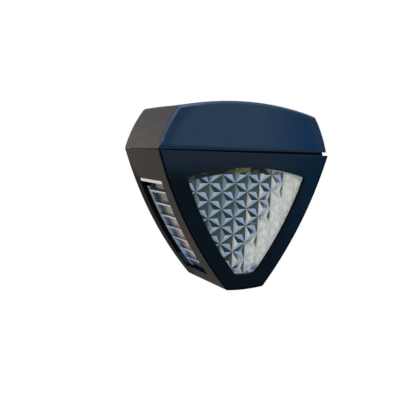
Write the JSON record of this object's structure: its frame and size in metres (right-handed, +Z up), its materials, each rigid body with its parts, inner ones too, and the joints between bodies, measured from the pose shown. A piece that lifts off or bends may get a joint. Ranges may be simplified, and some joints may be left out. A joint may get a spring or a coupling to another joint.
{
  "type": "solar fence light",
  "caption": "Wall-hung solar fence light: arched cap with a solar panel over a tapering shield-shaped body with a faceted clear front lens and ribbed clear side windows.",
  "frame": {"origin": "on the wall plane, on the centre line, midway between the upper ends of the two hanging slots in the back cover", "axes": "+X to the right as seen from in front, -Y out of the wall towards the viewer, +Z up"},
  "size_m": [0.121, 0.0472, 0.1117],
  "materials": {
    "black_abs": "fine satin texture",
    "clear_lens": "clear moulded polycarbonate",
    "panel_glass": "clear gloss laminate",
    "solar_cell": "dark blue silicon under laminate",
    "board_green": "solder mask",
    "white_tray": "white moulded",
    "silver_reflector": "metallised satin",
    "steel": "zinc plated",
    "black_part": "moulded",
    "cell_wrap": "shrink sleeve, plain",
    "rubber_seal": "silicone",
    "led_dome": "clear warm-white dome",
    "wire_red": "insulation",
    "wire_black": "insulation"
  },
  "bodies": {
    "casing": {"cap_shell": "black_abs", "panel_seal": "rubber_seal", "panel_board": "board_green", "solar_cells": "solar_cell", "panel_glass": "panel_glass", "lamp_tray": "black_abs", "tray_screws": "steel", "circuit_board": "board_green", "board_screws": "steel", "led_lamps": "led_dome", "driver_chip": "black_part", "choke_coil": "black_part", "panel_lead_red": "wire_red", "panel_lead_black": "wire_black", "battery_holder": "black_part", "battery_cell": "cell_wrap", "battery_spring": "steel", "spring_contact": "steel", "nub_contact": "steel", "battery_lead_black": "wire_black", "battery_lead_red": "wire_red", "switch_case": "black_part", "button_seal": "rubber_seal", "switch_leads": "wire_black", "body_shell": "black_abs", "front_bezel": "black_abs", "front_lens": "clear_lens", "right_side_lens": "clear_lens", "left_side_lens": "clear_lens", "reflector": "silver_reflector", "back_cover": "black_abs", "cover_seal": "rubber_seal", "cover_screws": "steel"},
    "button": {"push_button": "rubber_seal"},
    "plunger": {"switch_plunger": "white_tray"}
  },
  "joints": [
    {"name": "button_press", "type": "slide", "parent": "casing", "child": "button", "axis": [0, -1, 0], "range_m": [0, 0.0015], "stiffness_N_per_m": 400, "springref_m": -0.002},
    {"name": "plunger_press", "type": "slide", "parent": "casing", "child": "plunger", "axis": [0, -1, 0], "range_m": [0, 0.0015]}
  ],
  "couplings": [
    {"joint": "plunger_press", "follows": "button_press", "ratio": 1}
  ]
}
